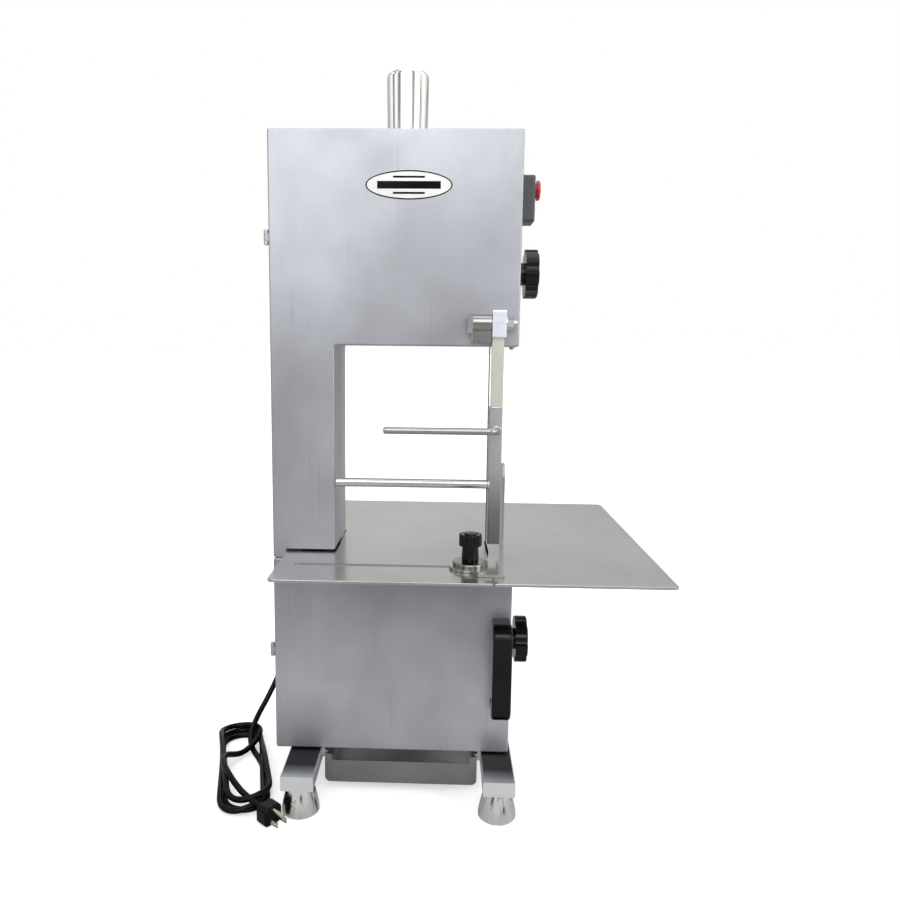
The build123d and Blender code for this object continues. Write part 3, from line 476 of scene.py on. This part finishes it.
def chrome_painted_reflections(name, dark=0.18):
    """Chrome with painted reflections: dark, bright and warm bands that run up and down."""
    paint = Paint(name, metallic=1.0)
    reflection_bands = paint.noise(85, (1, 1, 0.04), detail=3, rough=0.6)
    tones = [(0.36, grey(dark)), (0.44, grey(0.9)), (0.56, grey(1.0)), (0.62, (0.95, 0.90, 0.72)),
             (0.68, grey(dark * 1.6)), (0.74, grey(0.95))]
    paint.colour(paint.ramp(reflection_bands, tones))
    paint.roughness(paint.spread(paint.noise(35, detail=4, shift=2), 0.08, 0.20))
    paint.bump(reflection_bands, 0.12)
    return paint


def plastic(name, colour, rough=(0.18, 0.3), speck=700, bump=0.06, gloss=0.5):
    """Moulded plastic with a fine skin and handling marks."""
    paint = Paint(name)
    paint.shader.inputs["Specular IOR Level"].default_value = gloss
    worn = paint.noise(18, detail=5)
    light = tuple(c * 1.25 + 0.0015 for c in colour)
    paint.colour(paint.ramp(worn, [(0.35, colour), (0.75, light)]))
    paint.roughness(paint.spread(paint.noise(30, detail=5, shift=1), *rough))
    paint.bump(paint.noise(speck, detail=2, shift=4), bump)
    return paint


def cast(name, dark, light, metallic, tint=(1, 1, 1), rough=(0.45, 0.7)):
    """Cast or enamelled metal with a grainy skin."""
    paint = Paint(name, metallic=metallic)
    skin = paint.noise(CAST_SCALE, detail=4)
    tones = [(NOISE_LOW, grey(dark, tint)), (NOISE_HIGH, grey(light, tint))]
    paint.colour(paint.ramp(paint.noise(12, detail=5), tones))
    paint.roughness(paint.spread(skin, *rough))
    paint.bump(skin, 0.25)
    return paint


# Painted shade and reflections on the doors' sheet at some heights in metres: brightest low down,
# darkest just under the table where the table shades it, and nearly even above it.
DOOR_PAINTED_SHADE = [
    (0.06, 0.74), (0.14, 0.84), (0.28, 0.50), (0.33, 0.68), (0.43, 0.62), (0.56, 0.64), (0.64, 0.66),
    (0.78, 0.62),
]
# The same painted shade for the arm's steel, which is darker near the table.
ARM_PAINTED_SHADE = [(0.33, 0.25), (0.37, 0.38), (0.42, 0.85), (0.50, 1.0)]
# How bright the foot bars' top is along the machine's depth in metres, as painted shade: dark where the box
# covers and shades it.
BAR_PAINTED_SHADE = [
    (-0.156, 0.50), (-0.145, 0.22), (-0.130, 0.02), (0.020, 0.02), (0.060, 0.6), (0.100, 1.0),
]
DEPTH_SPAN = 0.2                     # depths are told apart from minus this to plus this

MATERIALS = {
    "door_steel": brushed_steel("door_steel", 0.58, 0.84, painted_shade_by_height=DOOR_PAINTED_SHADE, clouds=5.5, lines=0.03),
    "frame_steel": brushed_steel("frame_steel", 0.50, 0.60, (1.0, 1.0, 0.99)),
    "table_steel": brushed_steel("table_steel", 0.40, 0.50, (1.0, 1.0, 0.97), grain=(0.05, 1, 1),
                                 rough=(0.15, 0.24), clouds=4),
    "arm_steel": brushed_steel("arm_steel", 0.56, 0.70, (1, 1, 1.02), rough=(0.22, 0.32), painted_shade_by_height=ARM_PAINTED_SHADE),
    "bar_steel": brushed_steel("bar_steel", 0.70, 0.80, (1.0, 0.985, 0.86), rough=(0.3, 0.4)),
    "base_steel": brushed_steel("base_steel", 0.90, 1.0, (0.98, 1, 1.02), grain=(1, 0.05, 1),
                                shade_above=BAR_PAINTED_SHADE),
    "tray_steel": brushed_steel("tray_steel", 0.26, 0.36, (1, 1, 1.01), grain=(0.03, 1, 1)),
    "chrome": polished("chrome", 0.85),
    "fastener": polished("fastener", 0.62, rough=(0.2, 0.34)),
    "blade_steel": brushed_steel("blade_steel", 0.10, 0.16, (1, 1, 1)),
    "black_plastic": plastic("black_plastic", (0.0012, 0.0012, 0.0014), rough=(0.06, 0.12), bump=0.03,
                             gloss=0.28),
    "guide_plastic": plastic("guide_plastic", (0.75, 0.74, 0.70), rough=(0.4, 0.55)),
    "cast_wheel": cast("cast_wheel", 0.24, 0.34, metallic=0.8),
    "bronze": polished("bronze", 0.55, (1.0, 0.72, 0.36), rough=(0.25, 0.4)),
    "motor_paint": cast("motor_paint", 0.05, 0.075, metallic=0.0, tint=(0.85, 1.0, 1.15), rough=(0.35, 0.5)),
    "switch_grey": plastic("switch_grey", (0.07, 0.07, 0.075), rough=(0.35, 0.5)),
    "stop_red": plastic("stop_red", (0.45, 0.012, 0.012), rough=(0.25, 0.35)),
    "start_green": plastic("start_green", (0.01, 0.16, 0.04), rough=(0.25, 0.35)),
    "label_white": plastic("label_white", (0.80, 0.80, 0.79), rough=(0.3, 0.45)),
    "cord_black": plastic("cord_black", (0.0015, 0.0015, 0.0015), rough=(0.2, 0.34), speck=1200, bump=0.1,
                          gloss=0.16),
    "pin_metal": polished("pin_metal", 0.75, (1.0, 0.93, 0.78), rough=(0.15, 0.3)),
}
# Pieces whose metal looks brighter or duller than the rest of their slot, and chrome with painted
# reflections.
SPECIAL = {
    "arm_knuckle": polished("arm_steel_bright", 0.95, (0.93, 0.98, 1.05), rough=(0.30, 0.42)),
    "pivot_boss": polished("arm_steel_turned", 0.34, (1.0, 0.99, 0.97), rough=(0.10, 0.18)),
    "pivot_bolt": polished("fastener_bright", 0.55, rough=(0.06, 0.14)),
    "pivot_nut": polished("fastener_plated", 0.55, rough=(0.06, 0.14)),
    # The feet and the tension knob carry painted reflections.
    "cone_feet": chrome_painted_reflections("chrome_feet"),
    "tension_knob": chrome_painted_reflections("chrome_knob", dark=0.30),
    "handle_rod": polished("fastener_dull", 0.42, (1.0, 0.97, 0.93), rough=(0.22, 0.34), turning=(9, 1, 1)),
    "pusher_rod": polished("fastener_ground", 0.60, rough=(0.14, 0.24), turning=(30, 1, 1)),
    "gauge_disc": polished("chrome_crinkled", 0.26, (1.0, 0.93, 0.84), rough=(0.06, 0.22),
                           turning=(2.4, 2.4, 2.4), bump=0.9),
}


# ---------------------------------------------------------------- blade, sticker and welds
def mesh_piece(name, points, faces, slot, body, smooth=False):
    """A visible piece made from points and faces, with its slot and the body it rides on."""
    mesh = bpy.data.meshes.new(name)
    mesh.from_pydata([tuple(p) for p in points], [], faces)
    mesh.validate()
    mesh.update()
    piece = in_scene(name, mesh)
    mesh.materials.append(MATERIALS[slot].material)
    for face in mesh.polygons:
        face.use_smooth = smooth
    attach(piece, body)
    return piece


TOOTH = 0.0064                       # from one tooth's tip to the next, four to the inch
TOOTH_DEPTH = 0.0028
BAND = 0.0006                        # the blade's thickness
# From one tip to the next: how far along, and how much of the depth the edge stands back.
TOOTH_STEPS = ((0.0, 0.0), (0.25, 1.0), (0.75, 1.0), (0.999, 0.0))


def toothed_blade():
    """The endless band round both wheels, with teeth along its front edge."""
    low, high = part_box("saw_blade")
    outer = (high.x - low.x) / 2
    middle_x = (high.x + low.x) / 2
    lower, upper = low.z + outer, high.z - outer
    straight, half_turn = upper - lower, math.pi * outer
    around = 2 * (straight + half_turn)
    teeth = round(around / TOOTH)
    points, faces = [], []
    for i in range(teeth):
        for share, depth in TOOTH_STEPS:
            at = (i + share) / teeth * around
            if at < straight:
                x, z, nx, nz = outer, upper - at, 1.0, 0.0
            elif at < straight + half_turn:
                angle = -(at - straight) / outer
                nx, nz = math.cos(angle), math.sin(angle)
                x, z = outer * nx, lower + outer * nz
            elif at < 2 * straight + half_turn:
                x, z, nx, nz = -outer, lower + at - straight - half_turn, -1.0, 0.0
            else:
                angle = math.pi - (at - 2 * straight - half_turn) / outer
                nx, nz = math.cos(angle), math.sin(angle)
                x, z = outer * nx, upper + outer * nz
            front = low.y + TOOTH_DEPTH * depth
            for inset in (0.0, BAND):
                px, pz = middle_x + x - nx * inset, z - nz * inset
                points.append((px, front, pz))
                points.append((px, high.y, pz))
    count = teeth * len(TOOTH_STEPS)
    for i in range(count):
        a, b = 4 * i, 4 * ((i + 1) % count)
        faces.append((a, b, b + 1, a + 1))
        faces.append((a + 2, a + 3, b + 3, b + 2))
        faces.append((a, a + 2, b + 2, b))
        faces.append((a + 1, b + 1, b + 3, a + 3))
    piece = mesh_piece("toothed_blade", points, faces, "blade_steel", "root")
    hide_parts("saw_blade")


RIM_STEPS = 96
RIM_INSET, RIM_WIDTH, RIM_RISE = 0.0004, 0.0016, 0.00012
RULE_RISE = 0.0001
# Each rule's name, its height above the sticker's middle, half its length and half its thickness.
RULES = (
    ("sticker_rule_top", 0.0088, 0.018, 0.0011),
    ("sticker_band", 0.0, 0.036, 0.0042),
    ("sticker_rule_low", -0.0088, 0.018, 0.0011),
)
# The six faces of a box whose corners are listed by x, then by y, then by z.
BOX_FACES = ((0, 1, 3, 2), (4, 6, 7, 5), (0, 4, 5, 1), (2, 3, 7, 6), (0, 2, 6, 4), (1, 5, 7, 3))


def sticker_rim(centre, half_w, half_h, y):
    """A thin raised oval line, open at the back where it lies on the sticker."""
    points, faces = [], []
    for i in range(RIM_STEPS):
        angle = 2 * math.pi * i / RIM_STEPS
        c, s = math.cos(angle), math.sin(angle)
        for inset in (0.0, RIM_WIDTH):
            for rise in (0.0, RIM_RISE):
                points.append((centre.x + (half_w - inset) * c, y - rise, centre.z + (half_h - inset) * s))
    for i in range(RIM_STEPS):
        a, b = 4 * i, 4 * ((i + 1) % RIM_STEPS)
        faces += [(a + 1, b + 1, b + 3, a + 3), (a, b, b + 1, a + 1), (a + 2, a + 3, b + 3, b + 2)]
    mesh_piece("sticker_rim", points, faces, "black_plastic", "upper_door")


def sticker_marks():
    """A black rim and three plain rules on the blank oval sticker."""
    low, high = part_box("oval_label")
    centre = (low + high) / 2
    half_w, half_h = (high.x - low.x) / 2, (high.z - low.z) / 2
    sticker_rim(centre, half_w - RIM_INSET, half_h - RIM_INSET, low.y)
    for name, lift, half, thick in RULES:
        xs = (centre.x - half, centre.x + half)
        ys = (low.y - RULE_RISE, low.y)
        zs = (centre.z + lift - thick, centre.z + lift + thick)
        points = [(x, y, z) for x in xs for y in ys for z in zs]
        mesh_piece(name, points, BOX_FACES, "black_plastic", "upper_door")


BEAD_SIDES, RING_STEPS = 8, 40
RIPPLE, RIPPLE_DEPTH = 3.0, 0.16     # how fast and how much a bead's thickness changes
BEAD_END = 0.35                      # how thick its ends are, as a share of the rest
SKEW = Vector((0.31, 0.52, 0.79))    # no bead runs this way
BEAD_LIFT = 0.0004                   # from a bead's middle to the surface beside it
# How far from its corner a straight bead begins, how far apart its points are, and how many.
BOSS_BEAD, BAR_BEAD = (0.001, 0.0013, 24), (0.0012, 0.0009, 14)


def weld(name, path, size, body):
    """A lumpy weld bead along a line of points; a closed line when its ends meet."""
    closed = (path[0] - path[-1]).length < 1e-6
    line = path[:-1] if closed else path
    points, faces = [], []
    count, last = len(line), len(line) - 1
    for i, here in enumerate(line):
        before = line[i - 1] if closed or i else line[0]
        after = line[(i + 1) % count] if closed else line[min(i + 1, last)]
        ahead = (after - before).normalized()
        out = ahead.cross(SKEW).normalized()
        side = ahead.cross(out)
        swell = size * (1 + RIPPLE_DEPTH * math.sin(RIPPLE * i))
        if not closed and i in (0, last):
            swell *= BEAD_END
        for k in range(BEAD_SIDES):
            angle = 2 * math.pi * k / BEAD_SIDES
            points.append(here + swell * (math.cos(angle) * out + math.sin(angle) * side))
    for i in range(count if closed else last):
        a, b = BEAD_SIDES * i, BEAD_SIDES * ((i + 1) % count)
        for k in range(BEAD_SIDES):
            beside = (k + 1) % BEAD_SIDES
            faces.append((a + k, b + k, b + beside, a + beside))
    if not closed:
        faces.append(tuple(range(BEAD_SIDES)))
        faces.append(tuple(reversed(range(len(points) - BEAD_SIDES, len(points)))))
    mesh_piece(name, points, faces, "fastener", body, smooth=True)


def ring_round(centre, radius, axis):
    """A closed ring of points round an axis, x or y."""
    ring = []
    for i in range(RING_STEPS):
        angle = 2 * math.pi * i / RING_STEPS
        c, s = radius * math.cos(angle), radius * math.sin(angle)
        ring.append(Vector(centre) + (Vector((0, c, s)) if axis == "x" else Vector((c, 0, s))))
    return ring + [ring[0].copy()]


def spaced(corner, start, step, count):
    """Evenly spaced places along one axis."""
    return [corner + start + step * i for i in range(count)]


def welds():
    """Beads where the rods meet the arm's channel, where its bar enters it, and beside the boss."""
    channel_low, channel_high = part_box("arm_channel")
    pusher_low, pusher_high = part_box("pusher_rod")
    grip_low, grip_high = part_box("handle_rod")
    boss_low, boss_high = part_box("pivot_boss")
    pusher_middle, grip_middle = (pusher_low + pusher_high) / 2, (grip_low + grip_high) / 2
    pusher_r, grip_r = (pusher_high.z - pusher_low.z) / 2, (grip_high.z - grip_low.z) / 2
    pusher_ring = ring_round((channel_low.x, *pusher_middle.yz), pusher_r + BEAD_LIFT, "x")
    grip_ring = ring_round((grip_high.x - grip_r, channel_low.y, grip_middle.z), grip_r + BEAD_LIFT, "y")
    front, back = channel_low.y + BEAD_LIFT, boss_high.y - BEAD_LIFT
    boss_line = [Vector((boss_low.x, back, z)) for z in spaced(boss_low.z, *BOSS_BEAD)]
    bar_line = [Vector((x, front, channel_high.z)) for x in spaced(channel_low.x, *BAR_BEAD)]
    weld("weld_pusher", pusher_ring, size=0.0014, body="pusher_arm")
    weld("weld_grip", grip_ring, size=0.0012, body="pusher_arm")
    weld("weld_boss", boss_line, size=0.0013, body="upper_door")
    weld("weld_bar", bar_line, size=0.0010, body="pusher_arm")


toothed_blade()
sticker_marks()
welds()


def paint_nodes():
    """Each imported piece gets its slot's material, or its own special one."""
    for part in frame["record"]["subparts"]:
        mesh = frame["nodes"][part["node"]].data
        mesh.materials.clear()
        paint = SPECIAL.get(part["node"]) or MATERIALS[part["material_slot"]]
        mesh.materials.append(paint.material)


paint_nodes()
CORD.data.materials.append(MATERIALS["cord_black"].material)
bpy.context.view_layer.update()
